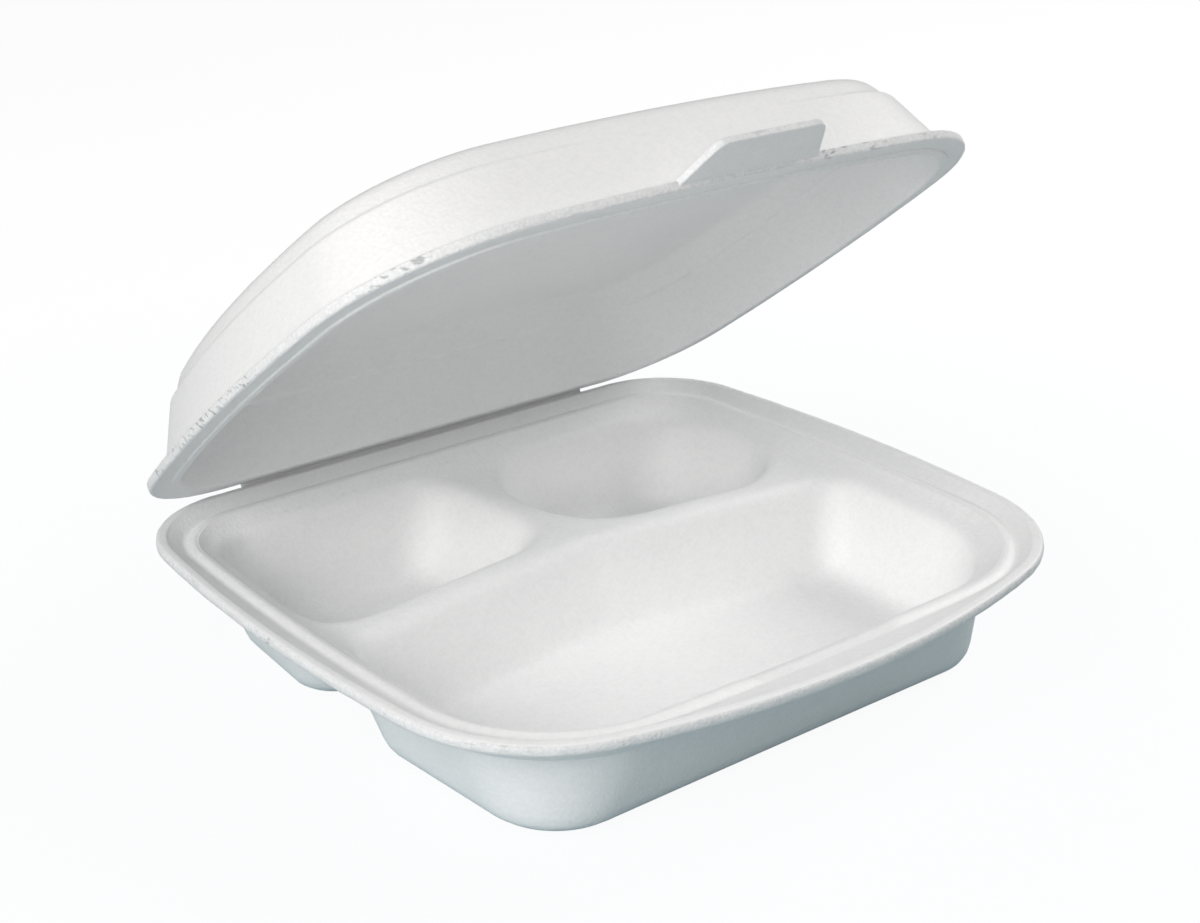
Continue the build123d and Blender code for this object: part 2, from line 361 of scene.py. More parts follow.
class StageLook(bpy.types.PropertyGroup):
    """Camera, lamps and floor."""
    eye: FloatVectorProperty(name="Camera", description="Place of the camera",
                             default=(-0.35365, -0.4330, 0.29247), size=3,
                             subtype="TRANSLATION", unit="LENGTH")
    azimuth: turn("Azimuth", "Camera's turn to the left of the front", 38.796)
    elevation: turn("Elevation", "Camera's height above the horizon", 22.404)
    roll: turn("Roll", "Camera's roll", -0.159)
    lens: FloatProperty(name="Lens", description="Focal length in millimetres", default=61.685)
    left: power("Left", "Power of the lamp at the left", 9.0)
    right: power("Right", "Power of the lamp at the right", 9.6)
    front: power("Front", "Power of the lamp in front", 5.2)
    top: power("Top", "Power of the lamp above", 0.9)
    fill: FloatProperty(name="Fill", description="Strength of the sky", default=0.15)
    distance: length("Lamp distance", "Lamps from the middle of the box", 1.3)
    lamp_size: length("Lamp size", "Width of each lamp", 0.9)
    # Painted shade round the box: the floor's colour is dark and bluish near it and fades to the far colour
    # between the two reaches
    floor_near_shade: colour("Near floor", "Floor close to the box, as the foam sees it", (0.30, 0.42, 0.46))
    floor_far: colour("Far floor", "Floor further out, as the foam sees it", (0.66, 0.66, 0.66))
    near_reach: length("Near reach", "Where the near floor starts to fade", 0.15)
    far_reach: length("Far reach", "Where the far floor is reached", 0.42)
    floor_glow: share("Floor glow", "White that the camera sees in the floor", 1.1)
    floor_glow_share: share("Glow share", "Share of that white in what the camera sees", 0.85)


def arc(centre, radius, start, end, count, whole=False):
    """Points on an arc in plan, with its last point only where whole is set."""
    angles = np.linspace(start, end, count, endpoint=whole)
    return centre + radius * np.stack([np.cos(angles), np.sin(angles)], 1)


def bearing(way):
    """Angle of a direction in plan."""
    return math.atan2(way[1], way[0])


def front_crossing(a, a_radius, b, b_radius):
    """The crossing of two circles that lies nearest to the front right."""
    gap = np.linalg.norm(b - a)
    along = (b - a) / gap
    reach = (gap ** 2 + a_radius ** 2 - b_radius ** 2) / (2 * gap)
    aside = math.sqrt(a_radius ** 2 - reach ** 2) * np.array([along[1], -along[0]])
    foot = a + reach * along
    return max((foot + aside, foot - aside), key=lambda point: point[0] - point[1])


def ring(half, half_end, front, swell, back, front_radius, back_radius):
    """Anticlockwise loop in plan with swelling sides and front, a straight back and round corners."""
    rise = (back - front) / 2
    bow = half - half_end
    side_radius = (rise ** 2 + bow ** 2) / (2 * bow)
    side = np.array([half - side_radius, (back + front) / 2])
    nose_radius = (half_end ** 2 + swell ** 2) / (2 * swell)
    nose = np.array([0.0, front - swell + nose_radius])
    corner = front_crossing(side, side_radius - front_radius, nose, nose_radius - front_radius)
    heel_y = back - back_radius
    heel_x = side[0] + math.sqrt((side_radius - back_radius) ** 2 - (heel_y - side[1]) ** 2)
    heel = np.array([heel_x, heel_y])
    front_turn = bearing(corner - nose)
    side_turn = bearing(corner - side)
    heel_turn = bearing(heel - side)
    line = np.linspace((heel_x, back), (0.0, back), LOOP_COUNTS[4])
    right = np.vstack([
        arc(nose, nose_radius, -math.pi / 2, front_turn, LOOP_COUNTS[0]),
        arc(corner, front_radius, front_turn, side_turn, LOOP_COUNTS[1]),
        arc(side, side_radius, side_turn, heel_turn, LOOP_COUNTS[2]),
        arc(heel, back_radius, heel_turn, math.pi / 2, LOOP_COUNTS[3]),
        line,
    ])
    left = right[-2:0:-1] * (-1, 1)
    return np.vstack([right, left])


def rounded(corners, grow=0.0):
    """Loop round a convex polygon of corners (x, y, radius), moved outwards by grow, anticlockwise."""
    points = [np.array(corner[:2]) for corner in corners]
    arcs = []
    for index, corner in enumerate(points):
        into = corner - points[index - 1]
        away = points[(index + 1) % len(points)] - corner
        into_out = np.array([into[1], -into[0]]) / np.linalg.norm(into)
        away_out = np.array([away[1], -away[0]]) / np.linalg.norm(away)
        radius = corners[index][2]
        centre = corner - radius * (into_out + away_out) / (1 + into_out @ away_out)
        start = bearing(into_out)
        end = start + (bearing(away_out) - start) % (2 * math.pi)
        arcs.append(arc(centre, radius + grow, start, end, CORNER_POINTS, whole=True))
    runs = []
    for index, bend in enumerate(arcs):
        following = arcs[(index + 1) % len(arcs)][0]
        runs.append(bend)
        runs.append(np.linspace(bend[-1], following, SIDE_POINTS + 2)[1:-1])
    return np.vstack(runs)


def outwards(loop):
    """Outward directions of an anticlockwise loop in plan."""
    along = np.roll(loop, -1, 0) - np.roll(loop, 1, 0)
    along /= np.linalg.norm(along, axis=1)[:, None]
    return np.stack([along[:, 1], -along[:, 0]], 1)


def at(loop, height):
    """Loop in plan at one height, or at a height for each point."""
    return np.column_stack([loop, np.broadcast_to(height, len(loop))])


def toward(corner, other, size, most):
    """Points at a set distance from the corner towards another loop."""
    way = other - corner
    span = np.maximum(np.linalg.norm(way, axis=1), SAME)
    return corner + way * np.minimum(size / span, most)[:, None]


def stretch(chain, target):
    """Adds loops up to the target in small steps."""
    start = chain[-1]
    span = np.linalg.norm(target - start, axis=1).max()
    if span < SAME:
        return
    steps = max(1, round(span / LOOP_GAP))
    for step in range(1, steps + 1):
        chain.append(start + (target - start) * (step / steps))


def soften(loops, rounds):
    """Section through matching loops with rounded corners, and the place of each corner in the chain."""
    chain = [loops[0]]
    marks = [0]
    last = len(loops) - 1
    for index in range(1, last):
        corner = loops[index]
        size = rounds[index - 1]
        start = toward(corner, loops[index - 1], size, 1.0 if index == 1 else ROUND_SHARE)
        end = toward(corner, loops[index + 1], size, 1.0 if index == last - 1 else ROUND_SHARE)
        stretch(chain, start)
        for t in np.linspace(0, 1, ROUND_POINTS)[1:]:
            chain.append((1 - t) ** 2 * start + 2 * t * (1 - t) * corner + t ** 2 * end)
        marks.append(len(chain) - 1 - ROUND_POINTS // 2)
    stretch(chain, loops[last])
    marks.append(len(chain) - 1)
    return chain, marks


def lay(bm, chain, cut=(0, 0)):
    """Faces along a chain of loops; those between the two cut places take the second material."""
    rows = [[bm.verts.new(point) for point in loop] for loop in chain]
    for place, (row, following) in enumerate(zip(rows, rows[1:])):
        for index in range(len(row)):
            face = bm.faces.new((row[index - 1], row[index], following[index], following[index - 1]))
            face.material_index = int(cut[0] <= place < cut[1])
    return rows


def within(points, loop):
    """Which points lie inside a closed loop in plan."""
    x, y = points[:, :1], points[:, 1:]
    start, end = loop, np.roll(loop, -1, 0)
    crosses = (start[:, 1] > y) != (end[:, 1] > y)
    rise = np.where(start[:, 1] == end[:, 1], 1.0, end[:, 1] - start[:, 1])
    reach = start[:, 0] + (y - start[:, 1]) * (end[:, 0] - start[:, 0]) / rise
    return (crosses & (x < reach)).sum(1) % 2 == 1


def gap_to(points, loop):
    """Distance in plan from each point to the nearest point of a loop, some points at a time."""
    at_once = 400
    parts = np.array_split(points, 1 + len(points) // at_once)
    return np.concatenate([np.linalg.norm(part[:, None] - loop[None], axis=2).min(1) for part in parts])


def fill_web(bm, rows):
    """Flat web between an outer loop and the loops inside it; gives the points spread over it."""
    loops = [np.array([vert.co[:2] for vert in row]) for row in rows]
    border = np.vstack(loops)
    low, high = border.min(0), border.max(0)
    across, along = [np.arange(low[axis], high[axis], WEB_STEP) for axis in (0, 1)]
    spread = np.stack(np.meshgrid(across, along), -1).reshape(-1, 2)
    spread = spread[within(spread, loops[0])]
    for loop in loops[1:]:
        spread = spread[~within(spread, loop)]
    spread = spread[gap_to(spread, border) > 0.5 * WEB_STEP]
    edges = []
    for loop in loops:
        start = len(edges)
        edges += [(start + index, start + (index + 1) % len(loop)) for index in range(len(loop))]
    points = [Vector(point) for point in np.vstack([border, spread])]
    places, _, faces, origins = delaunay_2d_cdt(points, edges, [], 1, SAME)[:4]
    middles = np.array([np.mean([places[index] for index in face], axis=0) for face in faces])
    open_over = np.any([within(middles, loop) for loop in loops[1:]], 0)
    fresh = [bm.verts.new((*point, rows[0][0].co.z)) for point in spread]
    verts = [vert for row in rows for vert in row] + fresh
    for face, hollow in zip(faces, open_over):
        if not hollow:
            bm.faces.new([verts[origins[index][0]] for index in face])
    return fresh


def close_over(bm, row, lift, rings=8):
    """Closes a loop with rings that shrink to its middle, which is lifted a little."""
    loop = np.array([vert.co for vert in row])
    middle = loop.mean(0)
    lift = np.array(lift)
    before = row
    for step in range(1, rings):
        part = 1 - step / rings
        points = middle + (loop - middle) * part + lift * (1 - part ** 2)
        following = [bm.verts.new(point) for point in points]
        for index in range(len(row)):
            bm.faces.new((before[index - 1], before[index], following[index], following[index - 1]))
        before = following
    pole = bm.verts.new(middle + lift)
    for index in range(len(row)):
        bm.faces.new((before[index - 1], before[index], pole))


def press_fold(bm, fold):
    """Gives the skin to the edge along the pressed fold, where the sheet isn't cut."""
    for face in bm.faces:
        middle = face.calc_center_median()
        if abs(middle.x) < fold.half and (middle - FOLD).yz.length < fold.pressed:
            face.material_index = 0


def finished(bm, name, materials):
    """Object from a closed mesh, with its faces turned outwards and shaded smooth."""
    bmesh.ops.recalc_face_normals(bm, faces=bm.faces)
    for face in bm.faces:
        face.smooth = True
    mesh = bpy.data.meshes.new(name)
    bm.to_mesh(mesh)
    bm.free()
    piece = bpy.data.objects.new(name, mesh)
    bpy.context.scene.collection.objects.link(piece)
    for material in materials:
        mesh.materials.append(material)
    return piece


def wander(count, size, seed):
    """Uneven inset along a loop, between nothing and size."""
    rough = np.random.default_rng(seed).random(count)
    soft = (np.roll(rough, 1) + 2 * rough + np.roll(rough, -1)) / 4
    return size * soft


def ragged(loop, size, seed):
    """Loop in plan with an uneven cut."""
    return loop - outwards(loop) * wander(len(loop), size, seed)[:, None]


def lift_lid(points):
    """Turns points of the shut lid up to the open lid."""
    cos, sin = math.cos(LID_OPEN), math.sin(LID_OPEN)
    y = points[:, 1] - FOLD.y
    n = points[:, 2]
    return np.column_stack([points[:, 0], FOLD.y + y * cos + n * sin, FOLD.z - y * sin + n * cos])


def plug(tree, target, sockets):
    """Gives each named socket of a node a value or another node's output."""
    for name, value in sockets.items():
        if isinstance(value, bpy.types.NodeSocket):
            tree.links.new(value, target.inputs[name])
        else:
            target.inputs[name].default_value = value


def node(tree, kind, sockets=None, **settings):
    """New node with its settings and sockets."""
    made = tree.nodes.new(kind)
    for name, value in settings.items():
        setattr(made, name, value)
    plug(tree, made, sockets or {})
    return made


def times(tree, value, factor):
    """Product of two values."""
    return node(tree, "ShaderNodeMath", {0: value, 1: factor}, operation="MULTIPLY").outputs[0]


def between(tree, value, low, high):
    """Value drawn out so that low becomes 0 and high becomes 1."""
    sockets = {"Value": value, "From Min": low, "From Max": high}
    return node(tree, "ShaderNodeMapRange", sockets).outputs["Result"]


def colour_mix(tree, part, low, high):
    """Colour between two others."""
    sockets = {"Factor": part, MIX_LOW: low, MIX_HIGH: high}
    return node(tree, "ShaderNodeMix", sockets, data_type="RGBA").outputs[MIX_OUT]


def noise(tree, sockets):
    """Soft random pattern."""
    return node(tree, "ShaderNodeTexNoise", sockets).outputs["Fac"]


def foam_cells():
    """Node group for the cell pattern of foam: a speckle for colour and a height for bump."""
    found = bpy.data.node_groups.get("Foam cells")
    if found:
        return found
    tree = bpy.data.node_groups.new("Foam cells", "ShaderNodeTree")
    for name, way in (("Cells", "INPUT"), ("Mottle", "INPUT"), ("Speckle", "OUTPUT"), ("Height", "OUTPUT")):
        tree.interface.new_socket(name, in_out=way, socket_type="NodeSocketFloat")
    entry = node(tree, "NodeGroupInput").outputs
    place = node(tree, "ShaderNodeTexCoord").outputs["Object"]
    fine = times(tree, entry["Cells"], 0.45)
    coarse = times(tree, entry["Cells"], 0.05)
    cells = node(tree, "ShaderNodeTexVoronoi",
                 {"Vector": place, "Scale": entry["Cells"], "Randomness": 1.0})
    grain = noise(tree, {"Vector": place, "Scale": fine, "Detail": 3.0, "Roughness": 0.6})
    patch = noise(tree, {"Vector": place, "Scale": coarse, "Detail": 2.0})
    heights = {0: cells.outputs["Distance"], 1: -0.7, 2: grain}
    height = node(tree, "ShaderNodeMath", heights, operation="MULTIPLY_ADD").outputs[0]
    spread = between(tree, height, -0.15, 0.55)
    blend = node(tree, "ShaderNodeMix", {"Factor": entry["Mottle"], "A": spread, "B": patch})
    node(tree, "NodeGroupOutput", {"Speckle": blend.outputs["Result"], "Height": height})
    return tree


def foam_material(name, light, cell_tone_and_shade, cells, mottle, roughness, bump):
    """Foam with a cell pattern between two colours; the darker one is the skin's own tone between its
    cells, and on the cut edge painted shade in the open cells.
    """
    material = bpy.data.materials.new(name)
    material.use_nodes = True
    tree = material.node_tree
    pattern = node(tree, "ShaderNodeGroup", node_tree=foam_cells())
    plug(tree, pattern, {"Cells": cells, "Mottle": mottle})
    speckle = pattern.outputs["Speckle"]
    rough, smooth = roughness + 0.12, roughness - 0.06
    sheen = node(tree, "ShaderNodeMapRange", {"Value": speckle, "To Min": rough, "To Max": smooth})
    bumps = {"Strength": bump, "Distance": 0.0004, "Height": pattern.outputs["Height"]}
    plug(tree, tree.nodes["Principled BSDF"], {
        "Base Color": colour_mix(tree, speckle, (*cell_tone_and_shade, 1), (*light, 1)),
        "Roughness": sheen.outputs["Result"],
        "Normal": node(tree, "ShaderNodeBump", bumps).outputs["Normal"],
    })
    return material


def paint_pit_shade(material, pit_shade_colour):
    """Painted shade in the ripped pits of a cut edge, drawn out along the cut, in some stretches of the
    edge.
    """
    tree = material.node_tree
    shader = tree.nodes["Principled BSDF"]
    plain = shader.inputs["Base Color"].links[0].from_socket
    place = node(tree, "ShaderNodeTexCoord").outputs["Object"]
    drawn = node(tree, "ShaderNodeVectorMath", {0: place, 1: (0.3, 0.4, 1.0)}, operation="MULTIPLY")
    pits = noise(tree, {"Vector": drawn.outputs["Vector"], "Scale": 900.0, "Detail": 1.0})
    stretches = noise(tree, {"Vector": place, "Scale": 30.0, "Detail": 1.0})
    # Mask of the painted pit shade
    pit_shade_mask = times(tree, between(tree, pits, 0.54, 0.64), between(tree, stretches, 0.52, 0.64))
    plug(tree, shader, {"Base Color": colour_mix(tree, pit_shade_mask, plain, (*pit_shade_colour, 1))})


def foam_materials(finish):
    """Moulded skin and cut edge."""
    skin = bpy.data.materials.get("Foam skin")
    if not skin:
        skin = foam_material("Foam skin", finish.skin, finish.skin_dark, finish.cells,
                             mottle=0.35, roughness=finish.gloss, bump=0.3)
    cut = bpy.data.materials.get("Foam cut edge")
    if not cut:
        # Its darker colour is painted shade in the open cells of the cut edge
        cut = foam_material("Foam cut edge", finish.cut, finish.cut_cell_shade, finish.cut_cells,
                            mottle=0.3, roughness=0.75, bump=0.5)
        # Painted shade in the pits of the cut edge
        paint_pit_shade(cut, finish.pit_shade_colour)
    return skin, cut


def tray_section(tray, finish):
    """Rim from the web over the ridge and the cut edge to the underside: loops and their roundings."""
    top = tray.rim_height
    low = top - tray.groove_drop
    web = tray.web_level()
    under = low - tray.sheet
    crest_in = tray.groove(tray.crest_in())
    crest_out = tray.groove(tray.crest_out())
    edge = ragged(tray.rim(0), finish.ragged, finish.seed)
    return [
        (at(tray.groove(tray.mouth() + 0.0008), web), 0.0),
        (at(tray.groove(tray.mouth()), web), 0.0008),
        (at(crest_in, tray.ridge_level(crest_in)), 0.0009),
        (at(crest_out, tray.ridge_level(crest_out)), 0.0009),
        (at(tray.groove(tray.groove_floor), low), 0.0006),
        (at(tray.groove(0), low), 0.0012),
        (at(tray.rim(tray.lip_width + tray.lip_step), top - tray.lip_step), 0.0006),
        (at(tray.rim(tray.lip_width), top), 0.0009),
        (at(edge, top), 0.0014),
        (at(edge, top - tray.sheet), 0.0012),
        (at(tray.rim(tray.lip_taper), under), 0.002),
        (at(tray.groove(tray.crest_in() - tray.sheet), under), 0.0016),
        (at(tray.groove(tray.mouth() - tray.sheet), web - tray.sheet), 0.0012),
        (at(tray.groove(tray.mouth() - tray.sheet + 0.001), web - tray.sheet), 0.0),
    ]


def ease_mouth(tray, verts):
    """Lets the ridge run out softly towards the web and the compartments' walls."""
    points = np.array([vert.co for vert in verts])
    gaps = gap_to(points[:, :2], tray.groove(tray.crest_in()))
    web = tray.web_level()
    rise = (tray.ridge_level(points) - web) * np.clip(1 - gaps / tray.mouth_ease, 0, 1) ** 2
    height = points[:, 2]
    eased = np.where(height >= web, np.maximum(height, web + rise), height + rise * (height / web) ** 3)
    for vert, level in zip(verts, eased):
        vert.co.z = level


def press_compartment(bm, tray, high, deep):
    """Inside and outside of a compartment, from its corners at the web and the floor; gives their rows."""
    sheet = tray.sheet
    web = tray.web_level()
    under = web - sheet
    loop = rounded(high)
    to_mouth = gap_to(loop, tray.groove(tray.mouth()))
    crest = np.clip(CREST_SHARE * to_mouth, CREST_LEAST, tray.crest_round)
    brim = loop + outwards(loop) * crest[:, None]
    inner = [at(brim, web), at(loop, web), at(rounded(deep), sheet),
             at(rounded(deep, -FLOOR_EDGE * tray.floor_round), sheet)]
    inner_rows = lay(bm, soften(inner, [crest, tray.floor_round])[0])
    close_over(bm, inner_rows[-1], (0, 0, tray.floor_crown))
    outer_round = tray.floor_round + OUTER_GAIN * sheet
    outer_high, outer_deep = rounded(high, sheet), rounded(deep, sheet)
    neck = outer_high + (outer_deep - outer_high) * (sheet / web)
    outer = [at(neck + outwards(neck) * NECK_ROUND, under), at(neck, under), at(outer_deep, 0.0),
             at(rounded(deep, sheet - FLOOR_EDGE * outer_round), 0.0)]
    outer_rows = lay(bm, soften(outer, [NECK_ROUND, outer_round])[0])
    close_over(bm, outer_rows[-1], (0, 0, tray.floor_crown))
    return inner_rows, outer_rows


class FOAMBOX_OT_tray(bpy.types.Operator):
    """Moulded tray with its rim, ridge, dividers and three compartments"""
    bl_idname = "foambox.tray"
    bl_label = "Tray"

    def execute(self, context):
        tray, finish = context.scene.foambox_tray, context.scene.foambox_finish
        section = tray_section(tray, finish)
        chain, marks = soften([loop for loop, size in section], [size for loop, size in section][1:-1])
        bm = bmesh.new()
        rows = lay(bm, chain, (marks[8], marks[9]))
        upper, lower = [rows[0]], [rows[-1]]
        inside = [vert for row in rows[:marks[2]] for vert in row]
        for high, deep in zip(tray.compartments(0), tray.compartments(1)):
            inner_rows, outer_rows = press_compartment(bm, tray, high, deep)
            upper.append(inner_rows[0])
            lower.append(outer_rows[0])
            inside += [vert for row in inner_rows for vert in row]
        inside += fill_web(bm, upper)
        fill_web(bm, lower)
        ease_mouth(tray, inside)
        press_fold(bm, context.scene.foambox_fold)
        piece = finished(bm, "tray", foam_materials(finish))
        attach(piece, "base")
        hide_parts("base_tray")
        return {"FINISHED"}


def lid_section(tray, lid, finish):
    """Lid from its ceiling over the cut edge to its top: loops of the shut lid and their roundings."""
    sheet = tray.sheet
    wall = lid.flange_width + lid.shoulder_inset
    step = wall + lid.shoulder_ledge
    crown = step + lid.crown_inset
    seat = lid.seat_gap
    bead = seat - lid.bead_drop
    soft = CROWN_EDGE * lid.crown_round
    outline = lid.dome(tray, 0)
    beside_tab = (np.abs(outline[:, 0]) > lid.tab_root_half + TAB_BESIDE) | (outline[:, 1] > 0)
    edge = ragged(outline, finish.ragged * beside_tab, finish.seed + 1)

    def dome(inset, inner, height):
        return at(lid.dome(tray, inset, inner), height)

    def stepped(inset, inner, height, low, high):
        """Loop at the step, which along the front fades into the line from a lower to a higher loop."""
        loop = dome(inset, inner, height)
        part = (height - low[0, 2]) / (high[0, 2] - low[0, 2])
        fade = np.clip(FADE_RATE * (1 - np.abs(loop[:, 0]) / lid.fade_half), 0, 1) * (loop[:, 1] < 0)
        return loop + (low + (high - low) * part - loop) * fade[:, None]

    flange = dome(lid.flange_width, 0, seat + sheet)
    ceiling = dome(crown, 0, lid.dome_height)
    mouth = dome(lid.flange_width, sheet, bead)
    inner_ceiling = dome(crown, sheet, lid.dome_height - sheet)
    shoulder = lid.shoulder_height
    inner_shoulder = shoulder - sheet
    return [
        (dome(crown, sheet + soft, lid.dome_height - sheet), 0.0),
        (inner_ceiling, lid.crown_round),
        (stepped(step, sheet, inner_shoulder, mouth, inner_ceiling), 0.0012),
        (stepped(wall, sheet, inner_shoulder, mouth, inner_ceiling), 0.0012),
        (mouth, 0.0008),
        (dome(lid.flange_width, sheet - lid.bead_width, bead), 0.0006),
        (dome(lid.flange_width, sheet - lid.bead_width, seat), 0.0003),
        (at(edge, seat), 0.0010),
        (at(edge, seat + sheet), 0.0008),
        (flange, 0.0016),
        (stepped(wall, 0, shoulder, flange, ceiling), 0.0014),
        (stepped(step, 0, shoulder, flange, ceiling), 0.0014),
        (ceiling, lid.crown_round),
        (dome(crown, soft, lid.dome_height), 0.0),
    ]


def tab_section(tray, lid):
    """Thumb tab as loops of the shut lid, from its underside to its upper side."""
    tip = -lid.tab_root_depth - lid.tab_reach
    corners = [(-lid.tab_tip_half, tip, lid.tab_round), (lid.tab_tip_half, tip, lid.tab_round),
               (lid.tab_root_half, 0.0, TAB_ROOT), (-lid.tab_root_half, 0.0, TAB_ROOT)]
    cos, sin = math.cos(lid.tab_lift), math.sin(lid.tab_lift)
    base_y = lid.tip(tray) + lid.tab_root_depth

    def tilted(grow, height):
        flat = rounded(corners, grow)
        y = base_y + flat[:, 1] * cos + height * sin
        n = lid.seat_gap - flat[:, 1] * sin + height * cos
        return np.column_stack([flat[:, 0], y, n])

    low = lid.tab_step
    high = tray.sheet
    return [tilted(-TAB_EDGE, low), tilted(0.0, low), tilted(0.0, high), tilted(-TAB_EDGE, high)]


class FOAMBOX_OT_lid(bpy.types.Operator):
    """Domed lid with its shoulder, flange, locating bead and thumb tab"""
    bl_idname = "foambox.lid"
    bl_label = "Lid"

    def execute(self, context):
        scene = context.scene
        tray, lid, finish = scene.foambox_tray, scene.foambox_lid, scene.foambox_finish
        section = lid_section(tray, lid, finish)
        loops = [lift_lid(loop) for loop, size in section]
        chain, marks = soften(loops, [size for loop, size in section][1:-1])
        bm = bmesh.new()
        rows = lay(bm, chain, (marks[7], marks[8]))
        close_over(bm, rows[0], (0, 0, 0))
        close_over(bm, rows[-1], (0, 0, 0))
        tab_loops = [lift_lid(loop) for loop in tab_section(tray, lid)]
        tab_chain, tab_marks = soften(tab_loops, [TAB_EDGE, TAB_EDGE])
        tab_rows = lay(bm, tab_chain, (tab_marks[1], tab_marks[2]))
        close_over(bm, tab_rows[0], (0, 0, 0))
        close_over(bm, tab_rows[-1], (0, 0, 0))
        press_fold(bm, scene.foambox_fold)
        piece = finished(bm, "lid_shell", foam_materials(finish))
        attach(piece, "lid")
        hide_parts("lid")
        return {"FINISHED"}


class FOAMBOX_OT_fold(bpy.types.Operator):
    """Pressed strip of foam that joins tray and lid along the back"""
    bl_idname = "foambox.fold"
    bl_label = "Fold"

    def execute(self, context):
        fold, finish = context.scene.foambox_fold, context.scene.foambox_finish
        start = -math.pi / 2 - fold.bury
        end = math.pi / 2 + fold.bury - LID_OPEN
        middle = (fold.inner + fold.outer) / 2

        def band(outer, inner):
            """Closed loop along the outside of the strip and back along its inside."""
            there = arc(np.zeros(2), outer, start, end, FOLD_POINTS, whole=True)
            back = arc(np.zeros(2), inner, end, start, FOLD_POINTS, whole=True)
            return np.vstack([there, back])

        strip = band(fold.outer, fold.inner)
        core = band(middle, middle)
        chain = []
        for x in np.linspace(-fold.half, fold.half, FOLD_ROWS):
            ease = min(1.0, (fold.half - abs(x)) / fold.outer + FOLD_END)
            shape = core + (strip - core) * math.sqrt(ease)
            y, z = FOLD.y + shape[:, 0], FOLD.z + shape[:, 1]
            chain.append(np.column_stack([np.full(len(shape), x), y, z]))
        bm = bmesh.new()
        rows = lay(bm, chain)
        for row in (rows[0], rows[-1]):
            bm.faces.new(row)
        piece = finished(bm, "fold_strip", foam_materials(finish)[:1])
        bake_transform(piece)
        return {"FINISHED"}


def crumb_tree():
    """Geometry nodes that set crumbs of foam at random along a line."""
    tree = bpy.data.node_groups.new("Edge crumbs", "GeometryNodeTree")
    kinds = {"Geometry": "Geometry", "Spacing": "Float", "Smallest": "Float", "Largest": "Float",
             "Share": "Float", "Scatter": "Float", "Seed": "Int", "Foam": "Material"}
    for name, kind in kinds.items():
        tree.interface.new_socket(name, in_out="INPUT", socket_type="NodeSocket" + kind)
    tree.interface.new_socket("Geometry", in_out="OUTPUT", socket_type="NodeSocketGeometry")
    entry = node(tree, "NodeGroupInput").outputs
    line = node(tree, "GeometryNodeMeshToCurve", {"Mesh": entry["Geometry"]})
    steps = {"Curve": line.outputs["Curve"], "Length": entry["Spacing"]}
    spaced = node(tree, "GeometryNodeResampleCurve", steps, mode="LENGTH")
    patch = noise(tree, {"Scale": 24.0, "Detail": 1.0})
    spread = {"Value": patch, "From Min": 0.47, "From Max": 0.62, "To Max": entry["Share"]}
    dense = node(tree, "ShaderNodeMapRange", spread).outputs["Result"]
    kept = node(tree, "FunctionNodeRandomValue", data_type="BOOLEAN")
    plug(tree, kept, {"Probability": dense, "Seed": entry["Seed"]})
    shift = node(tree, "FunctionNodeRandomValue", data_type="FLOAT_VECTOR")
    plug(tree, shift, {0: (-1, -1, -1), "Seed": entry["Seed"]})
    sized = node(tree, "ShaderNodeVectorMath", operation="SCALE")
    plug(tree, sized, {0: shift.outputs[0], "Scale": entry["Scatter"]})
    moved = node(tree, "GeometryNodeSetPosition",
                 {"Geometry": spaced.outputs["Curve"], "Offset": sized.outputs["Vector"]})
    crumb = node(tree, "GeometryNodeMeshIcoSphere", {"Radius": 1.0, "Subdivisions": 1})
    size = node(tree, "FunctionNodeRandomValue", data_type="FLOAT")
    plug(tree, size, {2: entry["Smallest"], 3: entry["Largest"], "Seed": entry["Seed"]})
    placed = node(tree, "GeometryNodeInstanceOnPoints", {
        "Points": moved.outputs["Geometry"],
        "Selection": kept.outputs[3],
        "Instance": crumb.outputs["Mesh"],
        "Scale": size.outputs[1],
    })
    real = node(tree, "GeometryNodeRealizeInstances", {"Geometry": placed.outputs["Instances"]})
    coat = node(tree, "GeometryNodeSetMaterial",
                {"Geometry": real.outputs["Geometry"], "Material": entry["Foam"]})
    node(tree, "NodeGroupOutput", {"Geometry": coat.outputs["Geometry"]})
    return tree


def scatter_crumbs(name, line, finish, seed):
    """Crumbs along a line of points, as a plain mesh object."""
    guide = bpy.data.meshes.new(name + "_line")
    steps = [(index, index + 1) for index in range(len(line) - 1)]
    guide.from_pydata([tuple(point) for point in line], steps, [])
    holder = bpy.data.objects.new(name + "_line", guide)
    bpy.context.scene.collection.objects.link(holder)
    tree = bpy.data.node_groups.get("Edge crumbs") or crumb_tree()
    modifier = holder.modifiers.new("Crumbs", "NODES")
    modifier.node_group = tree
    values = {"Spacing": finish.crumb_space, "Smallest": finish.crumb_small,
              "Largest": finish.crumb_large, "Share": finish.crumb_share,
              "Scatter": finish.crumb_large, "Seed": seed, "Foam": foam_materials(finish)[1]}
    for item in tree.interface.items_tree:
        if item.in_out == "INPUT" and item.name in values:
            modifier[item.identifier] = values[item.name]
    bpy.context.view_layer.update()
    depsgraph = bpy.context.evaluated_depsgraph_get()
    mesh = bpy.data.meshes.new_from_object(holder.evaluated_get(depsgraph), depsgraph=depsgraph)
    bpy.data.objects.remove(holder)
    mesh.name = name
    for polygon in mesh.polygons:
        polygon.use_smooth = True
    piece = bpy.data.objects.new(name, mesh)
    bpy.context.scene.collection.objects.link(piece)
    return piece


def front_line(loop, back):
    """Part of a loop in plan that lies before the line at back, from left to right."""
    line = loop[np.argsort(np.arctan2(loop[:, 0], -loop[:, 1]))]
    return line[line[:, 1] < back]


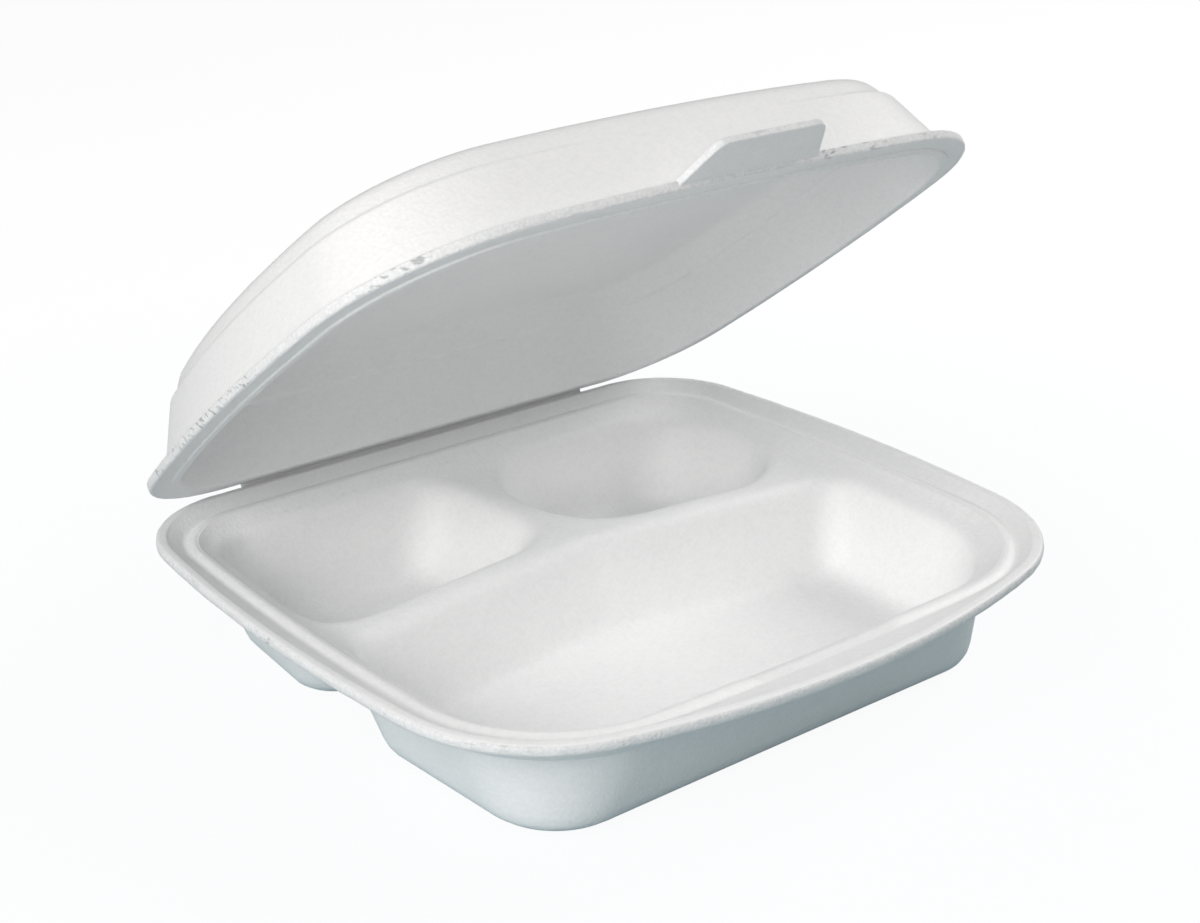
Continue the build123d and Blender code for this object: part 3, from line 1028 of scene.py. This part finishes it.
class FOAMBOX_OT_crumbs(bpy.types.Operator):
    """Crumbs of foam that cling to the cut edges"""
    bl_idname = "foambox.crumbs"
    bl_label = "Crumbs"

    def execute(self, context):
        scene = context.scene
        tray, lid, finish = scene.foambox_tray, scene.foambox_lid, scene.foambox_finish
        inset = finish.ragged + 2 * finish.crumb_large
        tray_line = at(front_line(tray.rim(inset), TRAY_CRUMBS_BACK), tray.rim_height - tray.sheet / 2)
        piece = scatter_crumbs("tray_crumbs", tray_line, finish, finish.seed)
        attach(piece, "base")
        lid_line = at(front_line(lid.dome(tray, inset), LID_CRUMBS_BACK), lid.seat_gap + tray.sheet / 2)
        piece = scatter_crumbs("lid_crumbs", lift_lid(lid_line), finish, finish.seed + 1)
        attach(piece, "lid")
        return {"FINISHED"}


def soft_lamp(name, look):
    """Round soft lamp that faces the box."""
    azimuth, elevation, tint = LAMPS[name]
    lamp = bpy.data.lights.new(name, "AREA")
    lamp.shape = "DISK"
    lamp.size = look.lamp_size
    lamp.energy = getattr(look, name.lower())
    lamp.color = tint
    holder = bpy.data.objects.new(name, lamp)
    way = outlook(math.radians(azimuth), math.radians(elevation))
    holder.location = LAMP_AIM + way * look.distance
    holder.rotation_euler = (-way).to_track_quat("-Z", "Y").to_euler()
    bpy.context.scene.collection.objects.link(holder)


def outlook(azimuth, elevation):
    """Direction from the box to a viewer who stands to the left of the front."""
    level = math.cos(elevation)
    return Vector((-math.sin(azimuth) * level, -math.cos(azimuth) * level, math.sin(elevation)))


def white_floor(look):
    """Pale floor that shows white to the camera and keeps the shadow; its colour carries painted shade
    round the box, dark and bluish near it and fading to grey further out.
    """
    material = bpy.data.materials.new("Studio floor")
    material.use_nodes = True
    tree = material.node_tree
    shader = tree.nodes["Principled BSDF"]
    place = node(tree, "ShaderNodeTexCoord").outputs["Object"]
    radius = node(tree, "ShaderNodeVectorMath", {0: place}, operation="LENGTH").outputs["Value"]
    # Painted shade: the floor's colour darkens towards the box
    fade = between(tree, radius, look.near_reach, look.far_reach)
    tint = colour_mix(tree, fade, (*look.floor_near_shade, 1), (*look.floor_far, 1))
    plug(tree, shader, {"Base Color": tint, "Roughness": 0.9})
    glow = node(tree, "ShaderNodeEmission", {"Color": (1, 1, 1, 1), "Strength": look.floor_glow})
    seen = node(tree, "ShaderNodeLightPath").outputs["Is Camera Ray"]
    part = times(tree, seen, look.floor_glow_share)
    mix = node(tree, "ShaderNodeMixShader", {0: part, 1: shader.outputs[0], 2: glow.outputs[0]})
    plug(tree, tree.nodes["Material Output"], {"Surface": mix.outputs[0]})
    return material


def studio_world(look):
    """White to the camera, a dimmer sky for the light."""
    world = bpy.data.worlds.new("Studio")
    bpy.context.scene.world = world
    world.use_nodes = True
    tree = world.node_tree
    sky = tree.nodes["Background"]
    plug(tree, sky, {"Color": (0.93, 0.97, 1.0, 1), "Strength": look.fill})
    white = node(tree, "ShaderNodeBackground", {"Color": (1, 1, 1, 1), "Strength": 1.0})
    seen = node(tree, "ShaderNodeLightPath").outputs["Is Camera Ray"]
    mix = node(tree, "ShaderNodeMixShader", {0: seen, 1: sky.outputs[0], 2: white.outputs[0]})
    plug(tree, tree.nodes["World Output"], {"Surface": mix.outputs[0]})


class FOAMBOX_OT_stage(bpy.types.Operator):
    """Camera, lamps and floor"""
    bl_idname = "foambox.stage"
    bl_label = "Stage"

    def execute(self, context):
        look = context.scene.foambox_stage
        floor_mesh = bpy.data.meshes.new("floor")
        corners = [(x * FLOOR_REACH, y * FLOOR_REACH, 0) for x, y in ((-1, -1), (1, -1), (1, 1), (-1, 1))]
        floor_mesh.from_pydata(corners, [], [(0, 1, 2, 3)])
        floor_mesh.materials.append(white_floor(look))
        floor = bpy.data.objects.new("floor", floor_mesh)
        context.scene.collection.objects.link(floor)
        studio_world(look)
        for name in LAMPS:
            soft_lamp(name, look)
        camera = bpy.data.cameras.new("Camera")
        camera.sensor_width = 36.0
        camera.lens = look.lens
        holder = bpy.data.objects.new("Camera", camera)
        context.scene.collection.objects.link(holder)
        back = outlook(look.azimuth, look.elevation)
        right = Vector((math.cos(look.azimuth), -math.sin(look.azimuth), 0))
        basis = Matrix((right, back.cross(right), back)).transposed() @ Matrix.Rotation(look.roll, 3, "Z")
        holder.matrix_world = Matrix.Translation(look.eye) @ basis.to_4x4()
        context.scene.camera = holder
        context.scene.view_settings.view_transform = "Standard"
        return {"FINISHED"}


class FOAMBOX_PT_panel(bpy.types.Panel):
    """Pieces of the foam clamshell"""
    bl_label = "Foam clamshell"
    bl_idname = "FOAMBOX_PT_panel"
    bl_space_type = "VIEW_3D"
    bl_region_type = "UI"
    bl_category = "Foam clamshell"

    def draw(self, context):
        for operator in OPERATORS:
            self.layout.operator(operator.bl_idname)
        finish = context.scene.foambox_finish
        for name in ("skin", "skin_dark", "cut", "gloss", "cells", "crumb_share"):
            self.layout.prop(finish, name)


GROUPS = {"foambox_tray": TraySizes, "foambox_lid": LidSizes, "foambox_fold": FoldSizes,
          "foambox_finish": FoamFinish, "foambox_stage": StageLook}
OPERATORS = (FOAMBOX_OT_tray, FOAMBOX_OT_lid, FOAMBOX_OT_fold, FOAMBOX_OT_crumbs, FOAMBOX_OT_stage)


def register():
    """Registers the groups, the operators and the panel."""
    for name, group in GROUPS.items():
        bpy.utils.register_class(group)
        setattr(bpy.types.Scene, name, PointerProperty(type=group))
    for cls in (*OPERATORS, FOAMBOX_PT_panel):
        bpy.utils.register_class(cls)


def unregister():
    """Undoes register."""
    for cls in (FOAMBOX_PT_panel, *reversed(OPERATORS)):
        bpy.utils.unregister_class(cls)
    for name, group in GROUPS.items():
        delattr(bpy.types.Scene, name)
        bpy.utils.unregister_class(group)


def main():
    """Builds every piece and the stage."""
    register()
    bpy.ops.foambox.tray()
    bpy.ops.foambox.lid()
    bpy.ops.foambox.fold()
    bpy.ops.foambox.crumbs()
    bpy.ops.foambox.stage()


if __name__ == "__main__":
    main()
